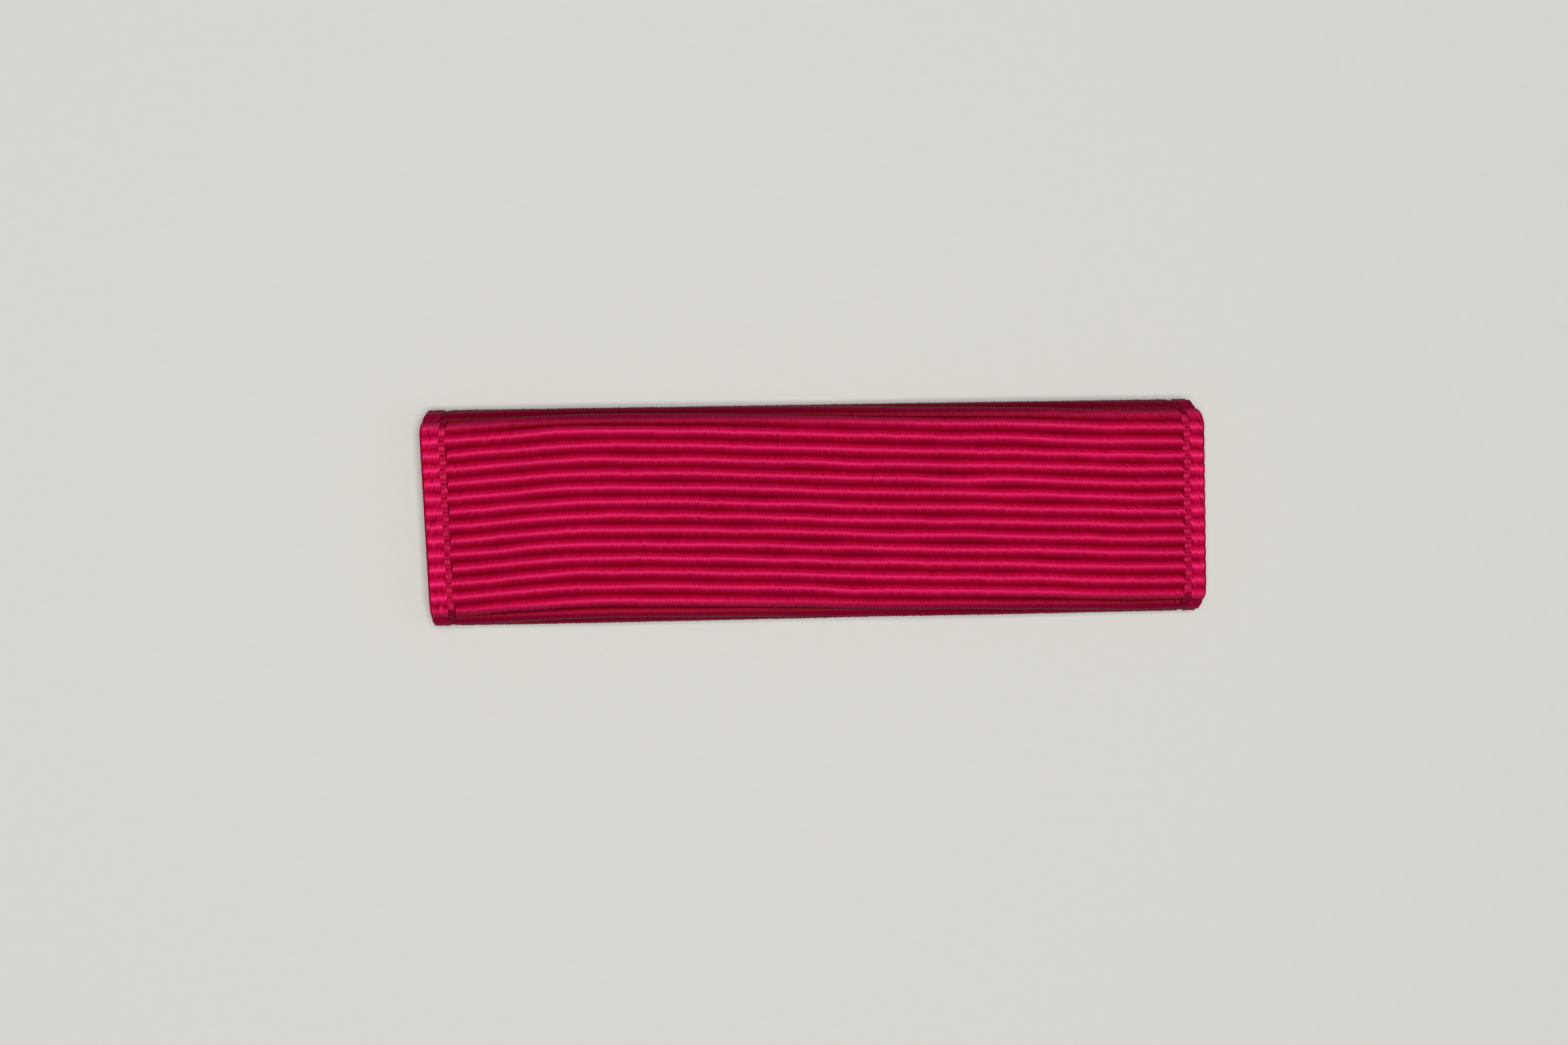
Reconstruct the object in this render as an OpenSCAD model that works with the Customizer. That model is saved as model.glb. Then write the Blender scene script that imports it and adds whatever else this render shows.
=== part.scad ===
// Single ribbon bar: ribbed ribbon wound round a brass tray that has a brooch pin in its open back.
// Millimetres. X runs along the bar, +Y to its upper long edge, +Z out of its face. The back laps lie on Z = 0.

/* [Ribbon] */
// Width of the ribbon, which is the length of the bar
ribbon_w = 34.9; // [30:0.1:40]
// Thickness of the ground cloth between two ribs
cloth_t = 0.28; // [0.22:0.01:0.36]
// Height of a rib over the ground cloth
rib_h = 0.22; // [0.12:0.01:0.28]
// Distance from one rib to the next
rib_pitch = 0.625; // [0.5:0.005:0.8]
// How far the ribs wander up and down along the bar
rib_wander = 0.5; // [0:0.05:0.6]
// Width of the selvedge at each end of the ribs
selvedge_w = 0.95; // [0.6:0.05:1.3]
// How far the selvedge is drawn in where it turns over a long edge
edge_pull = 0.5; // [0:0.05:0.7]
// Clearance between the tucked-in ends and the tray's narrow sides
tuck_gap = 0.15; // [0.1:0.05:0.4]

/* [Wound bar] */
// Height of the bar over the wound ribbon
bar_h = 9.6; // [9:0.1:11]
// Radius of the long edges over the ribs
edge_r = 1.15; // [1.05:0.05:1.3]
// Open gap between the two laps on the back
back_gap = 3; // [2.6:0.1:3.4]
// Clearance between ribbon and metal
wrap_gap = 0.04; // [0.02:0.01:0.06]

/* [Brass tray] */
// Thickness of the brass sheet
sheet_t = 0.4; // [0.3:0.02:0.45]
// Clear depth inside the tray, from its floor to its lips
hollow_d = 0.82; // [0.75:0.01:1.1]
// How far each end of the tray stays inside the ribbon
end_inset = 0.3; // [0.1:0.05:0.6]

/* [Brooch pin] */
// Diameter of the pin wire
wire_d = 0.7; // [0.5:0.05:0.75]
// Distance from the hinge rivet to the middle of the catch
pin_span = 22; // [16:0.5:25]
// Length of the pin that shows past the middle of the catch
tip_l = 2.4; // [1.6:0.1:3]
// Length of the sharpened point
point_l = 1.3; // [0.8:0.1:1.4]
// Diameter at the end of the point
point_d = 0.09; // [0.05:0.01:0.15]
// Wall of the eye round the rivet
eye_wall = 0.3; // [0.2:0.02:0.32]

/* [Hinge and catch] */
// Diameter of the hinge rivet
rivet_d = 0.4; // [0.3:0.02:0.5]
// Diameter of the rivet's flat heads
rivet_head_d = 0.7; // [0.6:0.02:0.9]
// Thickness of a rivet head
rivet_head_t = 0.1; // [0.06:0.01:0.15]
// Clearance all round the rivet in the eye
rivet_play = 0.05; // [0.03:0.01:0.07]
// Clearance between the eye and each hinge lug
side_play = 0.06; // [0.04:0.01:0.1]
// Thickness of a hinge lug
lug_t = 0.35; // [0.25:0.01:0.42]
// Diameter of a hinge lug's round end
lug_d = 1.2; // [1:0.05:1.4]
// Wall of the curled catch
catch_t = 0.28; // [0.2:0.02:0.3]
// Length of the catch along the pin
catch_w = 1.6; // [1:0.1:2.2]
// Clearance round the wire in the catch
catch_play = 0.06; // [0.04:0.01:0.08]
// Solder under the catch, between its curl and the tray's floor
solder_t = 0.1; // [0.05:0.01:0.15]

/* [Hidden] */
$fn = 48;
RADIAN = 180 / PI;
// How far soldered pieces run into each other
JOIN = 0.01;
// Smallest inner radius of a bend in the sheet
MIN_BEND = 0.05;

// Rib wander: [share of half the bar's length, share of rib_wander]
WANDER = [
    [-1.00, -0.12], [-0.90, 0.02], [-0.79, 0.36], [-0.67, 0.67], [-0.53, 0.77], [-0.28, 0.52],
    [-0.05, 0.20], [0.18, -0.18], [0.40, -0.39], [0.58, -0.58], [0.75, -0.93], [0.90, -1.04],
    [1.00, -1.02]
];
// Selvedge: [share of selvedge_w from the end, share of rib_h]; a negative share puts ribs where the grooves are
SELVEDGE = [[0.00, 0.45], [0.12, 0.80], [0.66, 0.80], [0.72, -0.35], [0.92, -0.35], [1.00, 1.00]];
// Rib section: [share of the pitch, share of the height]
RIB = [[0.00, 0.00], [0.26, 0.76], [0.42, 1.00], [0.58, 1.00], [0.74, 0.76]];
// Points of the inner surface under one rib, as shares of the pitch
UNDER = [0.0, 0.5];
// Triangles that close the end of one rib: outer points 0 to 5 with the next rib's first, then inner points 6 to 8
RIB_END = [[0, 1, 6], [1, 2, 6], [2, 7, 6], [2, 3, 7], [3, 4, 7], [4, 8, 7], [4, 5, 8]];
// Draw-in at the four corners: [side in X, side in Y, share of edge_pull]
CORNERS = [[1, 1, 1.0], [1, -1, 0.45], [-1, 1, 0.65], [-1, -1, 0.25]];
// How far along the bar a draw-in is felt, as shares of the selvedge
PULL_REACH = 5;
// Place of the rib pattern on the face, in shares of the pitch
RIB_START = -0.1;

ribbon_t = cloth_t + rib_h;
neutral = ribbon_t / 2;
lip_low = ribbon_t + wrap_gap;
floor_low = lip_low + sheet_t + hollow_d;
tray_d = 2 * sheet_t + hollow_d;
tray_h = bar_h - 2 * lip_low;
bar_d = tray_d + 2 * lip_low;
tray_l = ribbon_w - 2 * end_inset;
tray_r = edge_r - lip_low;
turn_r = sheet_t / 2 + wrap_gap + neutral;
lip_y = back_gap / 2 + turn_r + neutral;

// The ribbon's neutral line, measured from the middle of the face round to the tuck
wind_r = edge_r - neutral;
flat_y = bar_h / 2 - edge_r;
upper_z = bar_d - edge_r;
lower_z = edge_r;
quarter = wind_r * PI / 2;
s_face = flat_y;
s_edge = s_face + quarter;
s_side = s_edge + upper_z - lower_z;
s_back = s_side + quarter;
s_lap = s_back + flat_y - lip_y;
s_turn = s_lap + turn_r * PI;
wander_most = rib_wander * max([for (row = WANDER) abs(row[1])]) + abs(RIB_START) * rib_pitch;
tuck_l = tray_h / 2 - sheet_t - tuck_gap - lip_y - wander_most;
ribs_half = floor((s_turn + tuck_l) / rib_pitch);
s_end = ribs_half * rib_pitch;

function on_arc(y, z, r, turn) = [y + r * sin(turn), z + r * cos(turn), turn];

// [y, z, turn of the outward normal from +Z] on the upper half of the winding
function wind_half(s) =
    s < s_face ? [s, bar_d - neutral, 0]
    : s < s_edge ? on_arc(flat_y, upper_z, wind_r, (s - s_face) / wind_r * RADIAN)
    : s < s_side ? [bar_h / 2 - neutral, upper_z - (s - s_edge), 90]
    : s < s_back ? on_arc(flat_y, lower_z, wind_r, 90 + (s - s_side) / wind_r * RADIAN)
    : s < s_lap ? [flat_y - (s - s_back), neutral, 180]
    : s < s_turn ? on_arc(lip_y, lip_low + sheet_t / 2, turn_r, 180 + (s - s_lap) / turn_r * RADIAN)
    : [lip_y + (s - s_turn), lip_low + sheet_t / 2 + turn_r, 360];

function side(v) = v < 0 ? -1 : 1;
function wind(s) = let (p = wind_half(abs(s))) [side(s) * p.x, p.y, side(s) * p[2]];

function wander(x) = lookup(2 * x / ribbon_w, WANDER) * rib_wander + RIB_START * rib_pitch;
function rib_share(x) = lookup((ribbon_w / 2 - abs(x)) / selvedge_w, SELVEDGE);
function corner_share(sx, sy) = [for (c = CORNERS) if (c[0] == sx && c[1] == sy) c[2]][0];

// The draw-in is full on the narrow side of the bar and fades on its face, its back and away from its ends
function pull(x, turn) =
    let (away = max(0, (ribbon_w / 2 - abs(x)) / selvedge_w - 1) / PULL_REACH)
    edge_pull * corner_share(side(x), side(turn)) * pow(sin(turn), 2) * max(0, 1 - away);

// A point of the ribbon at station x, s along the winding and h over its inner surface
function ribbon_point(x, s, h) =
    let (p = wind(s), n = h - neutral)
    [x - side(x) * pull(x, p[2]), p.x + n * sin(p[2]), p.y + n * cos(p[2])];

function height(share, rib) = cloth_t + rib_h * (share < 0 ? -share * (1 - rib) : share * rib);

// Stations along X: the wander table's rows inside the selvedges, and the selvedge table's rows at both ends
STATION_GAP = 0.02;
wander_reach = 1 - 2 * selvedge_w / ribbon_w - STATION_GAP;
stations = concat(
    [for (row = SELVEDGE) -ribbon_w / 2 + row[0] * selvedge_w],
    [for (row = WANDER) if (abs(row[0]) < wander_reach) row[0] * ribbon_w / 2],
    [for (k = [len(SELVEDGE) - 1 : -1 : 0]) ribbon_w / 2 - SELVEDGE[k][0] * selvedge_w]
);

rib_rows = concat(
    [for (k = [-ribs_half : ribs_half - 1]) for (row = RIB) [(k + row[0]) * rib_pitch, row[1]]],
    [[s_end, 0]]
);
under_rows = concat(
    [for (k = [-ribs_half : ribs_half - 1]) for (share = UNDER) (k + share) * rib_pitch],
    [s_end]
);
outer_n = len(rib_rows);
section_n = outer_n + len(under_rows);

function section(x) = concat(
    [for (row = rib_rows) ribbon_point(x, row[0] + wander(x), height(rib_share(x), row[1]))],
    [for (s = under_rows) ribbon_point(x, s + wander(x), 0)]
);

// The ring of a section: out along the ribs and back along the inner surface
ring = concat([for (k = [0 : outer_n - 1]) k], [for (k = [section_n - 1 : -1 : outer_n]) k]);

// The place of a rib end's corner in section i, for rib k
function corner(i, k, c) =
    i * section_n + (c <= len(RIB) ? k * len(RIB) + c : outer_n + k * len(UNDER) + c - len(RIB) - 1);

function end_cap(i, near) = [
    for (k = [0 : 2 * ribs_half - 1])
    for (t = RIB_END)
    let (p = [for (c = t) corner(i, k, c)])
    near ? [p[2], p[1], p[0]] : p
];

module ribbon() {
    walls = [
        for (i = [0 : len(stations) - 2])
        for (k = [0 : section_n - 1])
        let (
            a = i * section_n + ring[k],
            b = i * section_n + ring[(k + 1) % section_n],
            c = b + section_n,
            d = a + section_n
        )
        for (t = [[a, c, d], [a, b, c]]) t
    ];
    last = len(stations) - 1;
    color("#b5083e")
        polyhedron(
            points = [for (x = stations) each section(x)],
            faces = concat(end_cap(0, true), walls, end_cap(last, false))
        );
}

// Extrudes a section drawn in Y and Z along X, centred
module along_bar(length) {
    rotate([90, 0, 90])
        linear_extrude(height = length, center = true)
        children();
}

module rounded(w, h, r) {
    square([w - 2 * r, h], center = true);
    square([w, h - 2 * r], center = true);
    for (sx = [-1, 1]) {
        for (sy = [-1, 1]) {
            translate([sx * (w / 2 - r), sy * (h / 2 - r)])
                circle(r = r);
        }
    }
}

// Bent sheet: a floor behind the face, two narrow sides and two lips with round edges
module tray() {
    mouth = 2 * lip_y;
    translate([0, 0, bar_d / 2])
        along_bar(tray_l)
        union() {
            difference() {
                rounded(tray_h, tray_d, tray_r);
                rounded(tray_h - 2 * sheet_t, hollow_d, max(tray_r - sheet_t, MIN_BEND));
                translate([-mouth / 2, -tray_d])
                    square([mouth, tray_d]);
            }
            for (sy = [-1, 1]) {
                translate([sy * lip_y, -(tray_d - sheet_t) / 2])
                    circle(d = sheet_t);
            }
        }
}

catch_r = wire_d / 2 + catch_play + catch_t;
wire_z = floor_low - solder_t - catch_r;
hinge_x = -pin_span / 2;
catch_x = pin_span / 2;
eye_r = rivet_d / 2 + rivet_play + eye_wall;

module across_bar(length) {
    rotate([90, 0, 0])
        linear_extrude(height = length, center = true)
        children();
}

// Two ears soldered to the tray's floor
module hinge_lugs() {
    for (sy = [-1, 1]) {
        translate([hinge_x, sy * (wire_d / 2 + side_play + lug_t / 2), wire_z])
            across_bar(lug_t)
            union() {
                circle(d = lug_d);
                translate([-lug_d / 2, 0])
                    square([lug_d, floor_low - wire_z + JOIN]);
            }
    }
}

module rivet() {
    ears_w = wire_d + 2 * (side_play + lug_t);
    translate([hinge_x, 0, wire_z]) {
        rotate([90, 0, 0])
            cylinder(h = ears_w, d = rivet_d, center = true);
        for (sy = [-1, 1]) {
            translate([0, sy * (ears_w + rivet_head_t) / 2, 0])
                rotate([90, 0, 0])
                cylinder(h = rivet_head_t, d = rivet_head_d, center = true);
        }
    }
}

// A curl that is open on one side for the wire, on a foot of solder
module catch_curl() {
    mouth = wire_d + 2 * catch_play;
    translate([catch_x, 0, wire_z]) {
        along_bar(catch_w)
            difference() {
                circle(r = catch_r);
                circle(d = mouth);
                translate([-2 * catch_r, -mouth / 2])
                    square([2 * catch_r, mouth]);
            }
        translate([-catch_w / 2, -wire_d / 2, mouth / 2 + JOIN])
            cube([catch_w, wire_d, floor_low - wire_z - mouth / 2]);
    }
}

module bar() {
    color("#c9a24a")
        union() {
            tray();
            hinge_lugs();
            rivet();
            catch_curl();
        }
}

// One piece of sprung wire with a flattened eye and a sharpened point
module pin() {
    shank_l = pin_span + tip_l - point_l;
    color("#c8c6bf")
        translate([hinge_x, 0, wire_z])
        difference() {
            union() {
                rotate([90, 0, 0])
                    cylinder(h = wire_d, r = eye_r, center = true);
                rotate([0, 90, 0])
                    cylinder(h = shank_l, d = wire_d);
                translate([shank_l, 0, 0])
                    rotate([0, 90, 0])
                    cylinder(h = point_l, d1 = wire_d, d2 = point_d);
            }
            rotate([90, 0, 0])
                cylinder(h = 2 * wire_d, d = rivet_d + 2 * rivet_play, center = true);
        }
}

ribbon();
bar();
pin();
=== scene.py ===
import math

import bpy
import numpy as np
from mathutils import Matrix, Vector


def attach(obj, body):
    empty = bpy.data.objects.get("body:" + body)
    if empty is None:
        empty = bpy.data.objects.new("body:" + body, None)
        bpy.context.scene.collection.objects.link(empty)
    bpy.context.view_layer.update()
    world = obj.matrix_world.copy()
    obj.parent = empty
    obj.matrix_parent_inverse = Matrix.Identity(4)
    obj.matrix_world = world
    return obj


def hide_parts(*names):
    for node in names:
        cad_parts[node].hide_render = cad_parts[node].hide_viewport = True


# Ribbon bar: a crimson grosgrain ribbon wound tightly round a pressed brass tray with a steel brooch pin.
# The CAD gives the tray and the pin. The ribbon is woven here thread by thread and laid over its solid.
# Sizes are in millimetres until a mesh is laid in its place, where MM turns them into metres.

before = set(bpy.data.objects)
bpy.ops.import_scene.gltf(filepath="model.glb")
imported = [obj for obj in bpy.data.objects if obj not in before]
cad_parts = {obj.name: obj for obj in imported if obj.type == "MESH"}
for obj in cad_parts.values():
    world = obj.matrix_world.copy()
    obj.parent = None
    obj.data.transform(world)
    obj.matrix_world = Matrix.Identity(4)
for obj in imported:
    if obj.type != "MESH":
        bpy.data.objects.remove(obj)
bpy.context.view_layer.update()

MM = 0.001
PHOTO_SIZE = (2352, 1568)
SENSOR_W = 36

# Sizes that the part's source gives as well
RIBBON_W = 34.9
HALF_H = 4.8
CLOTH_T = 0.28
RIB_H = 0.22
RIB_PITCH = 0.625
RIBS_HALF = 17
RIB_START = -0.1
RIB_WANDER = 0.5
SELVEDGE_W = 0.95
EDGE_PULL = 0.5
PULL_REACH = 5
# How far up in the cloth its length stays the same where it bends
NEUTRAL = 0.25
# Where the middle of the cloth lies on the tray: its bends' radii, and where the straight runs begin
WIND_R = 0.9
TURN_R = 0.49
FLAT_Y = 3.65
UPPER_Z = 1.55
LOWER_Z = 1.15
LIP_Y = 2.24
LIP_MID_Z = 0.74

# How far a rib strays along the ribbon, as shares of half the width and of RIB_WANDER
WANDER = [
    (-1.00, -0.12), (-0.90, 0.02), (-0.79, 0.36), (-0.67, 0.67), (-0.53, 0.77), (-0.28, 0.52), (-0.05, 0.20),
    (0.18, -0.18), (0.40, -0.39), (0.58, -0.58), (0.75, -0.93), (0.90, -1.04), (1.00, -1.02),
]
# How much the winding pulls each corner in: side along X, side along Y, share of EDGE_PULL
CORNERS = [(1, 1, 1.0), (1, -1, 0.45), (-1, 1, 0.65), (-1, -1, 0.25)]

# Threads: how far apart the warp ends lie in the field and in the selvedges
END_PITCH = 0.155
EDGE_PITCH = 0.132
FIELD_HALF = RIBBON_W / 2 - SELVEDGE_W
# The left selvedge is this much wider than the right one, at the field's cost
LEFT_EXTRA = 0.1
# The left end leans out by this share of its place along Y
LEFT_SKEW = 0.04
# The woven ground lies this far under the threads' surface, and a float's foot this far
GROUND_DIP = 0.08
FLOAT_FOOT = 0.035
# A point within this many metres of a cut lies on it. The default, 0.1 mm, is half a thread's width.
ON_CUT = 1e-6

# Painted shade: the threads' colour is at its lightest on the face, and is darkened between these
# millimetres, out along Y round the long sides and down along Z to the back, to these shares.
SIDE_FROM, SIDE_TO, SIDE_SHADE = 3.75, 4.4, 0.38
BACK_FROM, BACK_TO, BACK_SHADE = 1.6, 1.0, 0.5

HALF_W = RIBBON_W / 2
# Lengths along the cloth from the middle of the face to where each run and bend ends
S_FACE = FLAT_Y
S_EDGE = S_FACE + WIND_R * math.pi / 2
S_SIDE = S_EDGE + UPPER_Z - LOWER_Z
S_BACK = S_SIDE + WIND_R * math.pi / 2
S_LAP = S_BACK + FLAT_Y - LIP_Y
S_TURN = S_LAP + TURN_R * math.pi
S_END = RIBS_HALF * RIB_PITCH


# Camera


def look(place, right, up, lens):
    """The camera at place in millimetres, with its picture's right and up directions."""
    right = Vector(right).normalized()
    back = right.cross(Vector(up)).normalized()
    up = back.cross(right)
    data = bpy.data.cameras.new("camera")
    data.sensor_width = SENSOR_W
    data.lens = lens
    data.clip_start = 0.01
    data.clip_end = 10
    camera = bpy.data.objects.new("camera", data)
    bpy.context.collection.objects.link(camera)
    turn = Matrix((right, up, back)).transposed().to_4x4()
    camera.matrix_world = Matrix.Translation(Vector(place) * MM) @ turn
    bpy.context.scene.camera = camera
    return camera


# This focal length, in the photo's pixels, gives its 33.5 px per millimetre from 150 mm away
FOCAL_PX = 5025
look(
    place=(-15.0, 3.5, 150.5), right=(0.996, -0.016, 0.091), up=(0.018, 1.0, -0.025),
    lens=SENSOR_W * FOCAL_PX / PHOTO_SIZE[0],
)


# Modelling helpers


def deselect():
    if bpy.context.object and bpy.context.object.mode != "OBJECT":
        bpy.ops.object.mode_set(mode="OBJECT")
    bpy.ops.object.select_all(action="DESELECT")


def choose(obj):
    """obj alone is selected and active."""
    deselect()
    obj.select_set(True)
    bpy.context.view_layer.objects.active = obj


def points(obj):
    """The places of obj's vertices in millimetres, one row each."""
    flat = np.empty(len(obj.data.vertices) * 3)
    obj.data.vertices.foreach_get("co", flat)
    return flat.reshape(-1, 3) / MM


def set_points(obj, places):
    obj.data.vertices.foreach_set("co", (places * MM).ravel())
    obj.data.update()


def pick(obj, test):
    """In edit mode, selects the vertices whose place in millimetres passes test, and nothing else."""
    bpy.ops.mesh.select_all(action="DESELECT")
    bpy.ops.object.mode_set(mode="OBJECT")
    for vertex in obj.data.vertices:
        vertex.select = bool(test(vertex.co / MM))
    bpy.ops.object.mode_set(mode="EDIT")


def join(name, parts):
    """One piece from several, with its own name."""
    deselect()
    for part in parts:
        part.select_set(True)
    bpy.context.view_layer.objects.active = parts[0]
    bpy.ops.object.join()
    parts[0].name = name
    return parts[0]


# The flat cloth and how it is wound


def smooth_table(rows, reach=0.07):
    """The rows of a table as a smooth curve: places and values, 801 of each."""
    places = np.linspace(-1.2, 1.2, 801)
    values = np.interp(places, [row[0] for row in rows], [row[1] for row in rows])
    spread = np.arange(-120, 121) * (places[1] - places[0])
    weight = np.exp(-0.5 * (spread / reach) ** 2)
    padded = np.pad(values, 120, mode="edge")
    return places, np.convolve(padded, weight / weight.sum(), mode="valid")


WANDER_PLACES, WANDER_VALUES = smooth_table(WANDER)


def wander(x):
    """How far along the ribbon a rib has strayed at x."""
    return np.interp(x / HALF_W, WANDER_PLACES, WANDER_VALUES) * RIB_WANDER + RIB_START * RIB_PITCH


def wound(along):
    """(y, z, outward turn in radians) of the middle of the cloth at each length along it."""
    side = np.where(along < 0, -1.0, 1.0)
    s = np.abs(along)
    flat = np.zeros_like(s)
    upper = (s - S_FACE) / WIND_R
    lower = math.pi / 2 + (s - S_SIDE) / WIND_R
    tuck = math.pi + (s - S_LAP) / TURN_R
    stretch = [s < S_FACE, s < S_EDGE, s < S_SIDE, s < S_BACK, s < S_LAP, s < S_TURN]
    turn = np.select(
        stretch,
        [flat, upper, flat + math.pi / 2, lower, flat + math.pi, tuck],
        flat + 2 * math.pi,
    )
    y = np.select(
        stretch,
        [
            s,
            FLAT_Y + WIND_R * np.sin(upper),
            flat + FLAT_Y + WIND_R,
            FLAT_Y + WIND_R * np.sin(lower),
            FLAT_Y - (s - S_BACK),
            LIP_Y + TURN_R * np.sin(tuck),
        ],
        LIP_Y + (s - S_TURN),
    )
    z = np.select(
        stretch,
        [
            flat + UPPER_Z + WIND_R,
            UPPER_Z + WIND_R * np.cos(upper),
            UPPER_Z - (s - S_EDGE),
            LOWER_Z + WIND_R * np.cos(lower),
            flat + LOWER_Z - WIND_R,
            LIP_MID_Z + TURN_R * np.cos(tuck),
        ],
        flat + LIP_MID_Z + TURN_R,
    )
    return side * y, z, side * turn


def pull(x, turn):
    """How far the tight winding pulls the ribbon's edge in at the tray's corners."""
    share = np.zeros_like(x)
    for side_x, side_y, part in CORNERS:
        share = np.where((np.sign(x) == side_x) & (np.sign(turn) == side_y), part, share)
    away = np.clip((HALF_W - np.abs(x)) / SELVEDGE_W - 1, 0, None) / PULL_REACH
    return EDGE_PULL * share * np.sin(turn) ** 2 * np.clip(1 - away, 0, None)


def wind_on_tray(obj):
    """Lays a flat piece, x across, y along and z up from the cloth's inner face, round the tray."""
    x, along, up = points(obj).T
    y, z, turn = wound(along + wander(x))
    x = x - np.sign(x) * pull(x, turn)
    # The left end stands a little aslant
    x = x + LEFT_SKEW * (1 - np.clip(y, -HALF_H, HALF_H)) * np.clip(-x / HALF_W, 0, 1) ** 3
    y = y + (up - NEUTRAL) * np.sin(turn)
    z = z + (up - NEUTRAL) * np.cos(turn)
    set_points(obj, np.column_stack([x, y, z]))


def rib_form(share):
    """A rib's height across its pitch, 0 in the groove and 1 along the crest. It falls faster towards -Y."""
    return 1 - np.abs(2 * share - 1) ** np.where(share < 0.5, 1.6, 2.4)


def cloth_height(x, along):
    """The height of the ribbed cloth where its threads lie, in the field and in the selvedges.

    Between the two runs a low column whose ribs lie half a pitch over."""
    share = np.mod(along / RIB_PITCH, 1)
    between = np.mod(along / RIB_PITCH + 0.5, 1)
    inset = HALF_W - np.abs(x)
    inner = inset - np.where(x < 0, LEFT_EXTRA, 0.0)
    ribs = rib_form(share)
    edge = np.interp(inset, [0.0, 0.10], [0.45, 0.85])
    field = np.interp(inner, [0.71, 0.77, 0.87, 0.95], [0.0, -0.10, -0.10, 0.15])
    column = np.interp(inner, [0.71, 0.77, 0.87, 0.95], [0.0, 0.2, 0.2, 0.0])
    return CLOTH_T + RIB_H * ((edge + field) * ribs + column * rib_form(between))


# Ribbon cloth


def ribbon_cloth():
    """The woven ground of the ribbon, flat, with its ribs raised: what the surface threads pass over."""
    # Six strips to a rib, so that each crest is round
    rows = 2 * RIBS_HALF * 6
    columns = 96
    deselect()
    bpy.ops.mesh.primitive_grid_add(x_subdivisions=columns, y_subdivisions=rows, size=1, location=(0, 0, 0))
    cloth = bpy.context.object
    cloth.name = "ribbon_cloth"
    bpy.ops.object.mode_set(mode="EDIT")
    bpy.ops.mesh.select_all(action="SELECT")
    bpy.ops.transform.resize(
        value=((2 * FIELD_HALF - LEFT_EXTRA) * MM, 2 * S_END * MM, 1), center_override=(0, 0, 0)
    )
    bpy.ops.transform.translate(value=(LEFT_EXTRA / 2 * MM, 0, 0))
    # The selvedges grow from the field's two edges, a narrow strip at a time
    for side, extra in ((1, 0.0), (-1, LEFT_EXTRA)):
        edge = side * (FIELD_HALF - extra)
        for strip in (0.08, 0.10, 0.06, 0.20, 0.20, 0.21 + extra, 0.10):
            pick(cloth, lambda place: abs(place.x - edge) < 0.001)
            bpy.ops.mesh.extrude_region_move(TRANSFORM_OT_translate={"value": (side * strip * MM, 0, 0)})
            edge += side * strip
    bpy.ops.mesh.select_all(action="SELECT")
    bpy.ops.mesh.extrude_region_move(TRANSFORM_OT_translate={"value": (0, 0, CLOTH_T * MM)})
    bpy.ops.mesh.select_all(action="SELECT")
    bpy.ops.mesh.normals_make_consistent(inside=False)
    bpy.ops.object.mode_set(mode="OBJECT")
    places = points(cloth)
    top = places[:, 2] > CLOTH_T / 2
    # The ground lies deep under the field's threads and less deep in the selvedges
    inset = HALF_W - np.abs(places[:, 0])
    dip = GROUND_DIP * np.interp(inset, [SELVEDGE_W - 0.1, SELVEDGE_W], [0.4, 1.0])
    places[top, 2] = (cloth_height(places[:, 0], places[:, 1]) - dip)[top]
    set_points(cloth, places)
    wind_on_tray(cloth)
    choose(cloth)
    bpy.ops.object.shade_smooth_by_angle(angle=math.radians(55))
    return cloth


# Surface threads


def thread_float(name, width, length, height, sink, flank, tip):
    """One warp thread where it floats over a rib: a low half-round leaf, its tips sunk.

    flank and tip are its widths a third of its length from the middle and at its ends, as shares of width."""
    deselect()
    bpy.ops.mesh.primitive_cylinder_add(
        vertices=8, radius=width / 2 * MM, depth=length * MM, location=(0, 0, 0),
        rotation=(math.pi / 2, 0, 0), calc_uvs=False,
    )
    leaf = bpy.context.object
    leaf.name = name
    bpy.ops.object.transform_apply(location=True, rotation=True, scale=True)
    bpy.ops.object.mode_set(mode="EDIT")
    bpy.ops.mesh.select_all(action="SELECT")
    bpy.ops.mesh.bisect(
        plane_co=(0, 0, 0), plane_no=(0, 0, 1), use_fill=True, clear_inner=True, threshold=ON_CUT
    )
    for ring in (-2, -1, 0, 1, 2):
        bpy.ops.mesh.select_all(action="SELECT")
        bpy.ops.mesh.bisect(plane_co=(0, ring / 6 * length * MM, 0), plane_no=(0, 1, 0), threshold=ON_CUT)
    bpy.ops.mesh.select_all(action="SELECT")
    bpy.ops.transform.resize(value=(1, 1, 2 * height / width), center_override=(0, 0, 0))
    # From the middle to the tips: place along the leaf, how wide and how high it is, how deep it dips
    rings = ((1 / 6, 1.02, 0.88, 0.0), (1 / 3, flank, 0.55, 0.1), (1 / 2, tip, 0.35, 1.0))
    for share, wide, high, dip in rings:
        ring = share * length
        pick(leaf, lambda place: abs(abs(place.y) - ring) < 0.01)
        bpy.ops.transform.resize(value=(wide, 1, high), center_override=(0, 0, 0))
        bpy.ops.transform.translate(value=(0, 0, -dip * sink * MM))
    bpy.ops.mesh.select_all(action="SELECT")
    bpy.ops.mesh.normals_make_consistent(inside=False)
    bpy.ops.object.mode_set(mode="OBJECT")
    lay_map(leaf, width, length)
    return leaf


def lay_map(obj, width, length):
    """A UV map with u across a thread and v along it, both inside 0 to 1."""
    layer = obj.data.uv_layers.new(name="thread")
    for loop in obj.data.loops:
        place = obj.data.vertices[loop.vertex_index].co / MM
        u = min(max(place.x / width + 0.5, 0.02), 0.98)
        v = min(max(place.y / length + 0.5, 0.02), 0.98)
        layer.data[loop.index].uv = (u, v)


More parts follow.
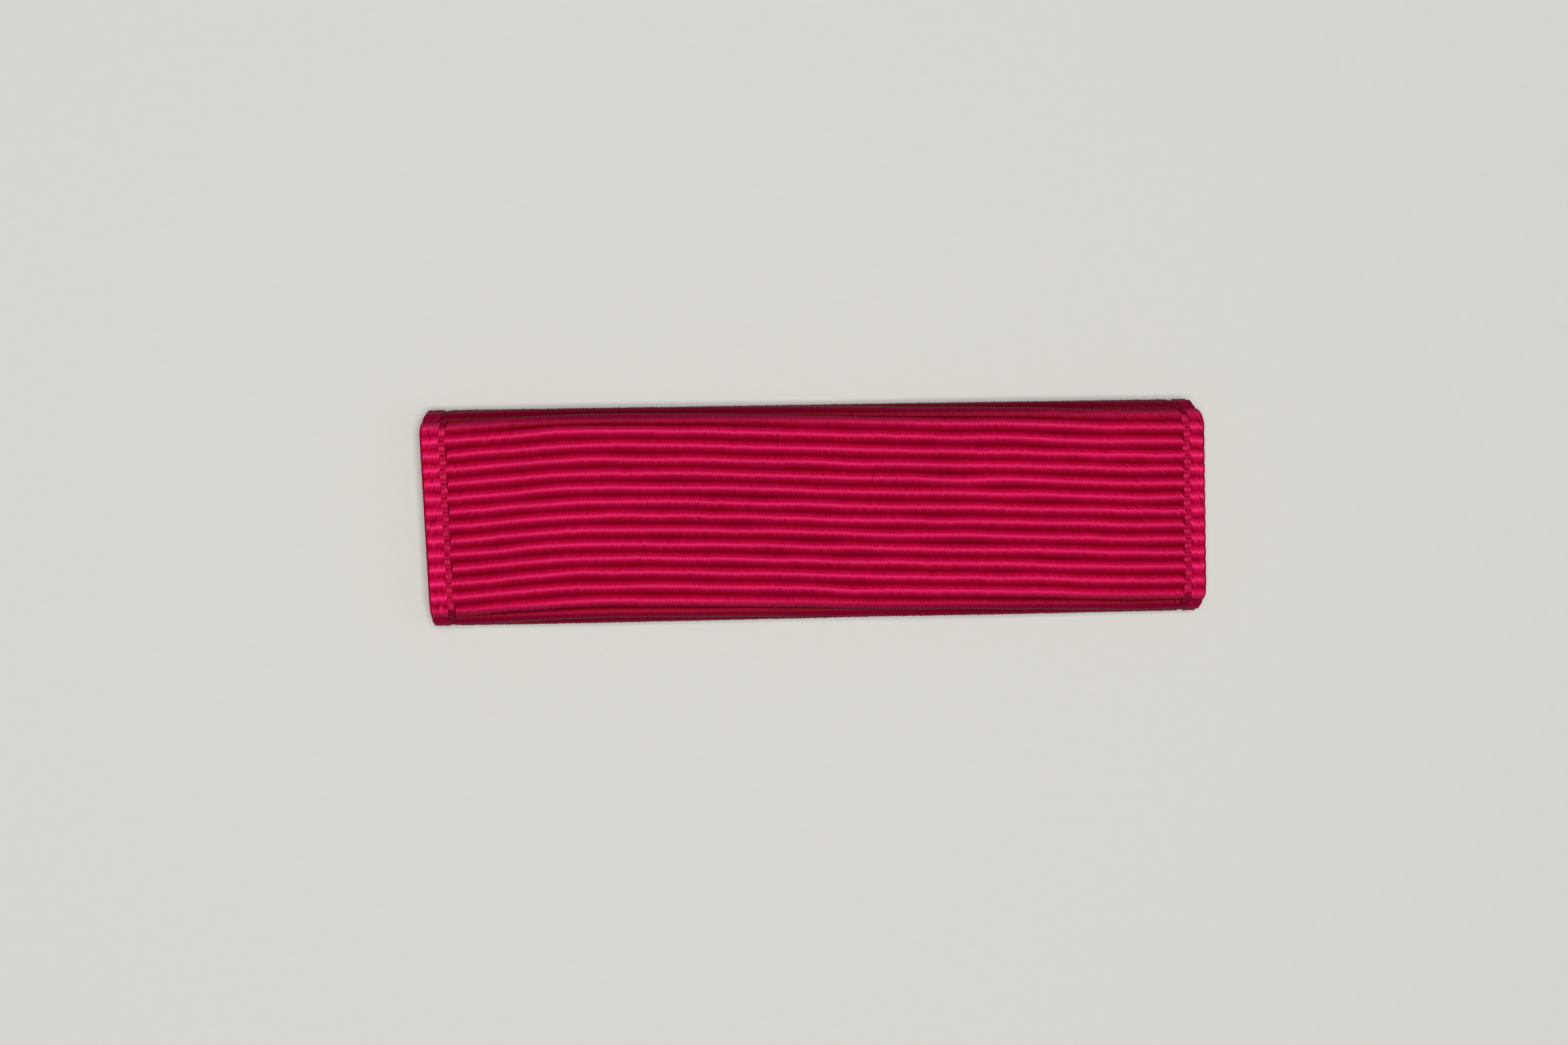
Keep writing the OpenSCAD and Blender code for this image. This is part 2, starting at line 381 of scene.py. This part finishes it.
def repeat(obj, count, step, across=0.0, along=0.0):
    """count copies of obj, each step millimetres on. The map moves on by whole threads."""
    choose(obj)
    row = obj.modifiers.new("row", "ARRAY")
    row.count = count
    row.use_relative_offset = False
    row.use_constant_offset = True
    row.constant_offset_displace = Vector(step) * MM
    row.offset_u = across
    row.offset_v = along
    bpy.ops.object.modifier_apply(modifier=row.name)


def waves(rng, count, rows, scale):
    """A gentle random drift for each thread of each rib, alike for neighbours up to 2 * scale threads off."""
    rough = rng.normal(size=(rows, count + 8 * scale))
    window = np.hanning(4 * scale + 3)[1:-1]
    calm = np.array([np.convolve(row, window / np.sqrt((window**2).sum()), mode="same") for row in rough])
    return calm[:, 4 * scale : 4 * scale + count]


def rib_floats(name, first_rib, ribs, seed):
    """The warp floats of some ribs, side by side across the field and half a thread over on each next rib."""
    columns = int(2 * FIELD_HALF / END_PITCH)
    leaf = thread_float(
        name, width=0.225, length=RIB_PITCH * 1.12, height=0.055, sink=0.03, flank=1.2, tip=1.1
    )
    per_leaf = len(leaf.data.vertices)
    repeat(leaf, columns, (END_PITCH, 0, 0), across=1.0)
    repeat(leaf, ribs, (0, RIB_PITCH, 0), along=1.0)
    rng = np.random.default_rng(seed)
    places = points(leaf).reshape(ribs, columns, per_leaf, 3)
    # The field lies a little to the right, as the left selvedge takes more room
    middle = 0.7 * LEFT_EXTRA
    place_x = (np.arange(columns) - (columns - 1) / 2)[None, :, None] * END_PITCH + middle
    place_y = np.arange(ribs)[:, None, None] * RIB_PITCH
    local_x = places[..., 0] - np.arange(columns)[None, :, None] * END_PITCH
    local_y = places[..., 1] - place_y
    local_z = places[..., 2]
    drift = waves(rng, columns, ribs, scale=5)[..., None]
    own = rng.normal(size=(4, ribs, columns, 1))
    # The winding has dragged the threads aslant, by degrees at places along the bar: a little one way at the
    # left end, and more the other way at the right end
    lean = np.radians(np.interp(place_x, [-16, -4, 6, 16], [-12, 0, 14, 27])) + np.radians(0.8) * own[0]
    stagger = 0.5 * END_PITCH * (np.arange(ribs)[:, None, None] % 2 - 0.5)
    share = 0.5 + np.clip(local_y / RIB_PITCH, -0.5, 0.5)
    # No two threads are alike: their width, place and height stray by hundredths of a millimetre
    x = place_x + stagger + local_x * (1 + 0.02 * own[1]) - np.tan(lean) * local_y + 0.003 * own[2]
    y = (first_rib + 0.5) * RIB_PITCH + place_y + local_y + 0.006 * own[3] + 0.014 * drift
    foot = CLOTH_T + (RIB_H - FLOAT_FOOT) * rib_form(share) - FLOAT_FOOT
    z = foot + local_z * (1 + 0.08 * own[0])
    set_points(leaf, np.stack([x, y, z], axis=-1).reshape(-1, 3))
    wind_on_tray(leaf)
    choose(leaf)
    bpy.ops.object.shade_smooth()
    return leaf


def edge_floats(name, side, columns, first_x, pitch, width, length, height, sink, rise, lean, shift, seed):
    """Warp floats in a selvedge, columns of them a pitch apart from first_x inside the ribbon's edge.

    They lean by lean degrees, lie rise higher and are moved along the ribbon by shift, a share of a rib."""
    leaf = thread_float(name, width=width, length=length, height=height, sink=sink, flank=1.0, tip=0.85)
    per_leaf = len(leaf.data.vertices)
    ribs = 2 * RIBS_HALF - 1
    repeat(leaf, columns, (pitch, 0, 0), across=1.0)
    repeat(leaf, ribs, (0, RIB_PITCH, 0), along=1.0)
    rng = np.random.default_rng(seed)
    places = points(leaf).reshape(ribs, columns, per_leaf, 3)
    local_x = places[..., 0] - np.arange(columns)[None, :, None] * pitch
    local_y = places[..., 1] - np.arange(ribs)[:, None, None] * RIB_PITCH
    own = rng.normal(size=(4, ribs, columns, 1))
    tilt = np.radians(lean) + np.radians(4) * own[0]
    inset = first_x + np.arange(columns)[None, :, None] * pitch
    stagger = 0.25 * pitch * (np.arange(ribs)[:, None, None] % 2 - 0.5)
    x = side * (HALF_W - inset) + stagger + local_x * (1 + 0.07 * own[1]) - np.tan(tilt) * local_y
    # The tight edge holds the outermost threads in line
    edge_band, held = 0.1, 0.8
    over = np.clip(np.abs(x) - (HALF_W - edge_band), 0, None)
    x = x - np.sign(x) * over * held
    y = (np.arange(ribs)[:, None, None] - RIBS_HALF + 0.5 + shift) * RIB_PITCH + local_y + 0.02 * own[2]
    base = cloth_height(x, y)
    z = base - FLOAT_FOOT + places[..., 2] * (1 + 0.1 * own[3]) + rise
    set_points(leaf, np.stack([x, y, z], axis=-1).reshape(-1, 3))
    wind_on_tray(leaf)
    return leaf


def weft_loops(name, side, seed):
    """The weft where it turns back round the ribbon's edge, one loop to a rib."""
    loop_r, yarn_r, inset, lift = 0.15, 0.06, 0.19, 0.04
    deselect()
    bpy.ops.mesh.primitive_torus_add(
        major_radius=loop_r * MM, minor_radius=yarn_r * MM, major_segments=14, minor_segments=6,
        rotation=(math.pi / 2, 0, 0), generate_uvs=False,
    )
    loop = bpy.context.object
    loop.name = name
    bpy.ops.object.transform_apply(location=True, rotation=True, scale=True)
    bpy.ops.object.mode_set(mode="EDIT")
    bpy.ops.mesh.select_all(action="SELECT")
    bpy.ops.mesh.bisect(
        plane_co=(0, 0, 0), plane_no=(-side, 0, 0), use_fill=True, clear_outer=True, threshold=ON_CUT
    )
    bpy.ops.mesh.select_all(action="SELECT")
    bpy.ops.transform.resize(value=(0.8, 2.1, 1), center_override=(0, 0, 0))
    bpy.ops.mesh.normals_make_consistent(inside=False)
    bpy.ops.object.mode_set(mode="OBJECT")
    lay_map(loop, 0.4, 0.3)
    per_loop = len(loop.data.vertices)
    ribs = 2 * RIBS_HALF - 1
    repeat(loop, ribs, (0, RIB_PITCH, 0), along=1.0)
    rng = np.random.default_rng(seed)
    places = points(loop).reshape(ribs, per_loop, 3)
    own = rng.normal(size=(3, ribs, 1))
    places[..., 0] = side * (HALF_W - inset) + places[..., 0] * (1 + 0.06 * own[0])
    places[..., 1] += (0.5 - RIBS_HALF) * RIB_PITCH + 0.02 * own[1]
    places[..., 2] = CLOTH_T / 2 + lift + places[..., 2] * (1 + 0.04 * own[2])
    set_points(loop, places.reshape(-1, 3))
    wind_on_tray(loop)
    return loop


def selvedge(name, side, field_at, columns, lean, seed):
    """One woven edge, from the ribbon's edge to where the field starts, field_at inside it.

    It has columns of floats on each rib, a lower inner column half a rib on, and the weft's loops."""
    outer = edge_floats(
        name + "_outer", side, columns, first_x=0.07, pitch=EDGE_PITCH, width=EDGE_PITCH + 0.035, length=0.74,
        height=0.065, sink=0.04, rise=0.0, lean=lean, shift=0.0, seed=seed,
    )
    # Two floats share what room is left
    room = field_at - columns * EDGE_PITCH
    inner = edge_floats(
        name + "_inner", side, 2, first_x=columns * EDGE_PITCH + 0.25 * room, pitch=0.5 * room,
        width=0.5 * room + 0.08, length=0.82, height=0.05, sink=0.05, rise=-0.005, lean=-5 * side,
        shift=-0.44, seed=seed + 1,
    )
    loops = weft_loops(name + "_loops", side, seed + 3)
    for part, material in ((outer, edge_silk), (loops, edge_silk), (inner, column_silk)):
        dress(part, material)
    edge = join(name, [outer, inner, loops])
    choose(edge)
    bpy.ops.object.shade_smooth()
    return edge


# Materials


def linear(colour):
    """An sRGB hex colour as Blender's linear RGBA."""
    values = [int(colour[i : i + 2], 16) / 255 for i in (1, 3, 5)]
    return tuple(v / 12.92 if v <= 0.04045 else ((v + 0.055) / 1.055) ** 2.4 for v in values) + (1.0,)


def node(tree, kind, inputs=None, **settings):
    """Adds a node with its settings. An input is given a value, or a socket to be linked from."""
    made = tree.nodes.new(kind)
    for setting, value in settings.items():
        setattr(made, setting, value)
    for key, value in (inputs or {}).items():
        if isinstance(value, bpy.types.NodeSocket):
            tree.links.new(value, made.inputs[key])
        else:
            made.inputs[key].default_value = value
    return made


def new_material(name):
    material = bpy.data.materials.new(name)
    material.use_nodes = True
    material.node_tree.nodes.clear()
    return material, material.node_tree


def finish_material(tree, shader):
    node(tree, "ShaderNodeOutputMaterial", {"Surface": shader.outputs[0]})


def per_metre(millimetres):
    """A texture scale for a feature of this size, on coordinates in metres."""
    return 1 / (millimetres * MM)


def silk_threads(name, dye_and_shade):
    """Dyed rayon-silk warp, reeled and twisted: a soft lustre on each float, and no two threads quite alike.

    dye_and_shade holds the sRGB colour at shares of a float's length, from the groove below a rib to the one
    above, with painted shade in the grooves and a painted highlight along the crest."""
    material, tree = new_material(name)
    mapped = node(tree, "ShaderNodeUVMap", uv_map="thread")
    parts = node(tree, "ShaderNodeSeparateXYZ", {"Vector": mapped.outputs[0]})
    thread = node(tree, "ShaderNodeVectorMath", {0: mapped.outputs[0]}, operation="FLOOR")
    own = node(tree, "ShaderNodeTexWhiteNoise", {"Vector": thread.outputs[0]}, noise_dimensions="2D")
    along = node(tree, "ShaderNodeMath", {0: parts.outputs["Y"]}, operation="FRACT")
    # Each thread's painted highlight and shade start a little sooner or later than its neighbour's, so the
    # painted highlight along a rib is ragged
    shifted = node(
        tree, "ShaderNodeMapRange",
        {"Value": own.outputs["Color"], "From Min": 0.0, "From Max": 1.0, "To Min": -0.035, "To Max": 0.035},
    )
    along = node(tree, "ShaderNodeMath", {0: along.outputs[0], 1: shifted.outputs[0]}, operation="ADD")
    # Filament bundles: about six across a thread, running its whole length with a slow twist
    stretch = node(
        tree, "ShaderNodeMapping",
        {"Vector": mapped.outputs[0], "Scale": (6.0, 0.9, 1), "Rotation": (0, 0, 0.25)},
    )
    fibres = node(
        tree, "ShaderNodeTexNoise",
        {"Vector": stretch.outputs[0], "Scale": 1.0, "Detail": 3.0, "Roughness": 0.6},
        noise_dimensions="2D",
    )
    place = node(tree, "ShaderNodeTexCoord")
    # Silky cloudiness of the whole cloth, a few millimetres across
    cloud = node(
        tree, "ShaderNodeTexNoise",
        {"Vector": place.outputs["Object"], "Scale": per_metre(4.0), "Detail": 2.0, "Roughness": 0.5},
    )
    # Painted highlight and shade: lighter and pinker along a rib's crest as a painted highlight, deep red
    # down in the grooves as painted shade, and lighter on the flank towards +Y than towards -Y as painted
    # light from that side
    dye_and_shade_ramp = node(tree, "ShaderNodeValToRGB", {"Fac": along.outputs[0]})
    ramp = dye_and_shade_ramp.color_ramp
    ramp.elements[0].color = linear(dye_and_shade[0][1])
    ramp.elements[1].color = linear(dye_and_shade[-1][1])
    for position, colour in dye_and_shade[1:-1]:
        ramp.elements.new(position).color = linear(colour)
    tone = node(
        tree, "ShaderNodeMapRange",
        {"Value": own.outputs["Value"], "From Min": 0.0, "From Max": 1.0, "To Min": 0.85, "To Max": 0.92},
    )
    streak = node(
        tree, "ShaderNodeMapRange",
        {"Value": fibres.outputs["Fac"], "From Min": 0.3, "From Max": 0.7, "To Min": 0.90, "To Max": 1.10},
    )
    haze = node(
        tree, "ShaderNodeMapRange",
        {"Value": cloud.outputs["Fac"], "From Min": 0.3, "From Max": 0.7, "To Min": 0.95, "To Max": 1.05},
    )
    level = node(tree, "ShaderNodeMath", {0: tone.outputs[0], 1: streak.outputs[0]}, operation="MULTIPLY")
    level = node(tree, "ShaderNodeMath", {0: level.outputs[0], 1: haze.outputs[0]}, operation="MULTIPLY")
    # Painted shade: the colour darkens round the long sides and on the back, where less light falls on them.
    spot = node(tree, "ShaderNodeSeparateXYZ", {"Vector": place.outputs["Object"]})
    outward = node(tree, "ShaderNodeMath", {0: spot.outputs["Y"]}, operation="ABSOLUTE")
    side = node(
        tree, "ShaderNodeMapRange",
        {
            "Value": outward.outputs[0], "From Min": SIDE_FROM * MM, "From Max": SIDE_TO * MM,
            "To Min": 1.0, "To Max": SIDE_SHADE,
        },
    )
    back = node(
        tree, "ShaderNodeMapRange",
        {
            "Value": spot.outputs["Z"], "From Min": BACK_TO * MM, "From Max": BACK_FROM * MM,
            "To Min": BACK_SHADE, "To Max": 1.0,
        },
    )
    painted_shade = node(tree, "ShaderNodeMath", {0: side.outputs[0], 1: back.outputs[0]}, operation="MINIMUM")
    level = node(tree, "ShaderNodeMath", {0: level.outputs[0], 1: painted_shade.outputs[0]}, operation="MULTIPLY")
    colour = node(
        tree, "ShaderNodeVectorMath", {0: dye_and_shade_ramp.outputs["Color"], "Scale": level.outputs[0]},
        operation="SCALE",
    )
    bump = node(
        tree, "ShaderNodeBump", {"Height": fibres.outputs["Fac"], "Strength": 0.5, "Distance": 0.02 * MM},
    )
    rough = node(
        tree, "ShaderNodeMapRange",
        {"Value": fibres.outputs["Fac"], "From Min": 0.3, "From Max": 0.7, "To Min": 0.50, "To Max": 0.60},
    )
    # The filaments run along the threads, round the tray, so the lustre spreads across them, along X
    across = node(tree, "ShaderNodeCombineXYZ", {"X": 1.0})
    shader = node(
        tree, "ShaderNodeBsdfPrincipled",
        {
            "Base Color": colour.outputs[0], "Roughness": rough.outputs[0], "Normal": bump.outputs[0],
            "Tangent": across.outputs[0], "Anisotropic": 0.6, "Metallic": 0.22,
            "IOR": 1.5, "Specular IOR Level": 0.12, "Specular Tint": linear("#FF9CB0"),
        },
    )
    finish_material(tree, shader)
    return material


def ground_weft():
    """The thick weft and sunk warp under the floats, of spun rayon: the same dye, painted darker than the
    floats as shade where it shows in the grooves and gaps, dull and without lustre.
    """
    material, tree = new_material("dyed_rayon_ground_weave")
    place = node(tree, "ShaderNodeTexCoord")
    # A slow unevenness across the ribbon, a band to about six warp ends. At scale 1 a band is 0.1 pi wide.
    band = 2 * math.pi * END_PITCH
    ends = node(
        tree, "ShaderNodeTexWave",
        {
            "Vector": place.outputs["Object"], "Scale": per_metre(band) * math.pi / 10,
            "Distortion": 0.4, "Detail": 1.0,
        },
        wave_type="BANDS", bands_direction="X",
    )
    grain = node(
        tree, "ShaderNodeTexNoise",
        {"Vector": place.outputs["Object"], "Scale": per_metre(0.2), "Detail": 4.0, "Roughness": 0.6},
    )
    # Painted shade: these reds are darker than the floats' dye, to deepen the grooves and the gaps where the
    # ground shows
    mixed = node(
        tree, "ShaderNodeMix",
        {"Factor": grain.outputs["Fac"], "A": linear("#6A0014"), "B": linear("#8C0226")}, data_type="RGBA",
    )
    bump = node(
        tree, "ShaderNodeBump", {"Height": ends.outputs["Fac"], "Strength": 0.6, "Distance": 0.03 * MM},
    )
    shader = node(
        tree, "ShaderNodeBsdfPrincipled",
        {
            "Base Color": mixed.outputs["Result"], "Roughness": 0.65, "Normal": bump.outputs[0],
            "IOR": 1.5, "Specular IOR Level": 0.3, "Specular Tint": linear("#FF4B8D"),
        },
    )
    finish_material(tree, shader)
    return material


def rolled_brass():
    """Cartridge brass sheet, rolled and pressed: fine lines from the rolls, thin brown tarnish in patches."""
    material, tree = new_material("rolled_brass_sheet")
    place = node(tree, "ShaderNodeTexCoord")
    stretched = node(
        tree, "ShaderNodeMapping", {"Vector": place.outputs["Object"], "Scale": (0.008, 1, 1)},
    )
    lines = node(
        tree, "ShaderNodeTexNoise",
        {"Vector": stretched.outputs[0], "Scale": per_metre(0.06), "Detail": 3.0, "Roughness": 0.6},
    )
    patches = node(
        tree, "ShaderNodeTexNoise",
        {"Vector": place.outputs["Object"], "Scale": per_metre(2.6), "Detail": 5.0, "Roughness": 0.6},
    )
    spread = node(
        tree, "ShaderNodeMapRange",
        {"Value": patches.outputs["Fac"], "From Min": 0.42, "From Max": 0.72, "To Min": 0.0, "To Max": 0.75},
    )
    mixed = node(
        tree, "ShaderNodeMix",
        {"Factor": spread.outputs[0], "A": linear("#DDBB6A"), "B": linear("#8F6A36")}, data_type="RGBA",
    )
    rough = node(
        tree, "ShaderNodeMapRange",
        {"Value": lines.outputs["Fac"], "From Min": 0.3, "From Max": 0.7, "To Min": 0.27, "To Max": 0.38},
    )
    bump = node(
        tree, "ShaderNodeBump", {"Height": lines.outputs["Fac"], "Strength": 0.35, "Distance": 0.01 * MM},
    )
    shader = node(
        tree, "ShaderNodeBsdfPrincipled",
        {
            "Base Color": mixed.outputs["Result"], "Metallic": 1.0, "Roughness": rough.outputs[0],
            "Normal": bump.outputs[0],
        },
    )
    finish_material(tree, shader)
    return material


def plated_wire():
    """Hard-drawn steel wire, nickel plated: bright, with the draw plate's lines along it."""
    material, tree = new_material("nickel_plated_steel_wire")
    place = node(tree, "ShaderNodeTexCoord")
    stretched = node(tree, "ShaderNodeMapping", {"Vector": place.outputs["Object"], "Scale": (0.02, 1, 1)})
    lines = node(
        tree, "ShaderNodeTexNoise",
        {"Vector": stretched.outputs[0], "Scale": per_metre(0.06), "Detail": 3.0, "Roughness": 0.6},
    )
    cloud = node(
        tree, "ShaderNodeTexNoise",
        {"Vector": place.outputs["Object"], "Scale": per_metre(1.8), "Detail": 4.0, "Roughness": 0.55},
    )
    mixed = node(
        tree, "ShaderNodeMix",
        {"Factor": cloud.outputs["Fac"], "A": linear("#D8D3C6"), "B": linear("#A8A59B")}, data_type="RGBA",
    )
    rough = node(
        tree, "ShaderNodeMapRange",
        {"Value": lines.outputs["Fac"], "From Min": 0.3, "From Max": 0.7, "To Min": 0.14, "To Max": 0.30},
    )
    bump = node(
        tree, "ShaderNodeBump", {"Height": lines.outputs["Fac"], "Strength": 0.25, "Distance": 0.006 * MM},
    )
    shader = node(
        tree, "ShaderNodeBsdfPrincipled",
        {
            "Base Color": mixed.outputs["Result"], "Metallic": 1.0, "Roughness": rough.outputs[0],
            "Normal": bump.outputs[0],
        },
    )
    finish_material(tree, shader)
    return material


def studio_paper():
    """Matt backdrop paper: pale, even, with barely any tooth."""
    material, tree = new_material("matt_backdrop_paper")
    place = node(tree, "ShaderNodeTexCoord")
    tooth = node(
        tree, "ShaderNodeTexNoise",
        {"Vector": place.outputs["Object"], "Scale": per_metre(0.5), "Detail": 3.0, "Roughness": 0.6},
    )
    mixed = node(
        tree, "ShaderNodeMix",
        {"Factor": tooth.outputs["Fac"], "A": linear("#ABA9A4"), "B": linear("#AFADA9")}, data_type="RGBA",
    )
    shader = node(
        tree, "ShaderNodeBsdfPrincipled",
        {"Base Color": mixed.outputs["Result"], "Roughness": 0.9, "Specular IOR Level": 0.2},
    )
    finish_material(tree, shader)
    return material


def dress(obj, material):
    """Every face of obj gets this material."""
    obj.data.materials.clear()
    obj.data.materials.append(material)


# Pieces

# From groove to groove over a rib: deep red as painted shade in the grooves, pinker at the crest as a painted
# highlight, lighter on the upper flank than the lower as painted light from above, and deep red again
field_dye_and_shade = [
    (0.0, "#7A0014"), (0.14, "#840220"), (0.24, "#92032B"), (0.34, "#A00638"), (0.44, "#AC1442"),
    (0.5, "#B01A47"), (0.58, "#B01443"), (0.68, "#B1063D"), (0.77, "#AF033A"), (0.86, "#9A0129"),
    (1.0, "#86001A"),
]
# The low inner column's threads: darker overall than the field, deep red at the ends as painted shade and
# lighter in the middle as a painted highlight
column_dye_and_shade = [
    (0.0, "#7C001E"), (0.2, "#8C0428"), (0.4, "#9C0A34"), (0.5, "#A81842"), (0.6, "#9C0A34"),
    (0.8, "#8C0428"), (1.0, "#7C001E"),
]
# The selvedge threads and weft loops: lighter overall than the field, pinker at the crest as a painted
# highlight and deep red at the ends as painted shade
edge_dye_and_shade = [
    (0.0, "#920024"), (0.18, "#A80638"), (0.34, "#BA0E4A"), (0.44, "#C81A54"), (0.5, "#CC225A"),
    (0.6, "#CA1A56"), (0.75, "#C40C4A"), (0.88, "#AC0636"), (1.0, "#980020"),
]
field_silk = silk_threads("dyed_silk_warp_threads", field_dye_and_shade)
column_silk = silk_threads("dyed_silk_column_threads", column_dye_and_shade)
edge_silk = silk_threads("dyed_silk_selvedge_threads", edge_dye_and_shade)

cloth = ribbon_cloth()
dress(cloth, ground_weft())
floats = [
    rib_floats("rib_floats_lower", -16, 11, seed=11),
    rib_floats("rib_floats_face", -5, 10, seed=12),
    rib_floats("rib_floats_upper", 5, 11, seed=13),
]
for piece in floats:
    dress(piece, field_silk)
right_edge = selvedge("selvedge_right", 1, field_at=SELVEDGE_W, columns=5, lean=17, seed=21)
left_edge = selvedge("selvedge_left", -1, field_at=1.06, columns=6, lean=-8, seed=31)
for name, material in (("bar", rolled_brass()), ("pin", plated_wire())):
    tray_or_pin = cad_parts[name]
    for material_slot in tray_or_pin.material_slots:
        material_slot.material = material
    if not tray_or_pin.material_slots:
        tray_or_pin.data.materials.append(material)

for piece in [cloth, *floats, right_edge, left_edge]:
    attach(piece, "root")
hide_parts("ribbon")


# Floor and light

# The floor lies a hair under the back laps, so the two never share a surface
FLOOR_Z = -0.02
deselect()
bpy.ops.mesh.primitive_plane_add(size=1.2, location=(0, 0, FLOOR_Z * MM))
floor = bpy.context.object
floor.name = "floor"
dress(floor, studio_paper())


def soft_light(name, place, size, power):
    """A square white soft box at place in millimetres, turned to the ribbon bar."""
    data = bpy.data.lights.new(name, "AREA")
    data.shape = "SQUARE"
    data.size = size * MM
    data.energy = power
    light = bpy.data.objects.new(name, data)
    bpy.context.collection.objects.link(light)
    light.location = Vector(place) * MM
    light.rotation_mode = "QUATERNION"
    light.rotation_quaternion = Vector(place).to_track_quat("Z", "Y")
    return light


soft_light("key_light", (-20, 0, 340), size=110, power=1.8)
soft_light("fill_light", (150, -20, 300), size=200, power=0.11)

world = bpy.data.worlds.new("studio")
bpy.context.scene.world = world
world.use_nodes = True
world.node_tree.nodes["Background"].inputs["Color"].default_value = linear("#F2F1EE")
world.node_tree.nodes["Background"].inputs["Strength"].default_value = 0.07

bpy.context.scene.view_settings.view_transform = "Standard"
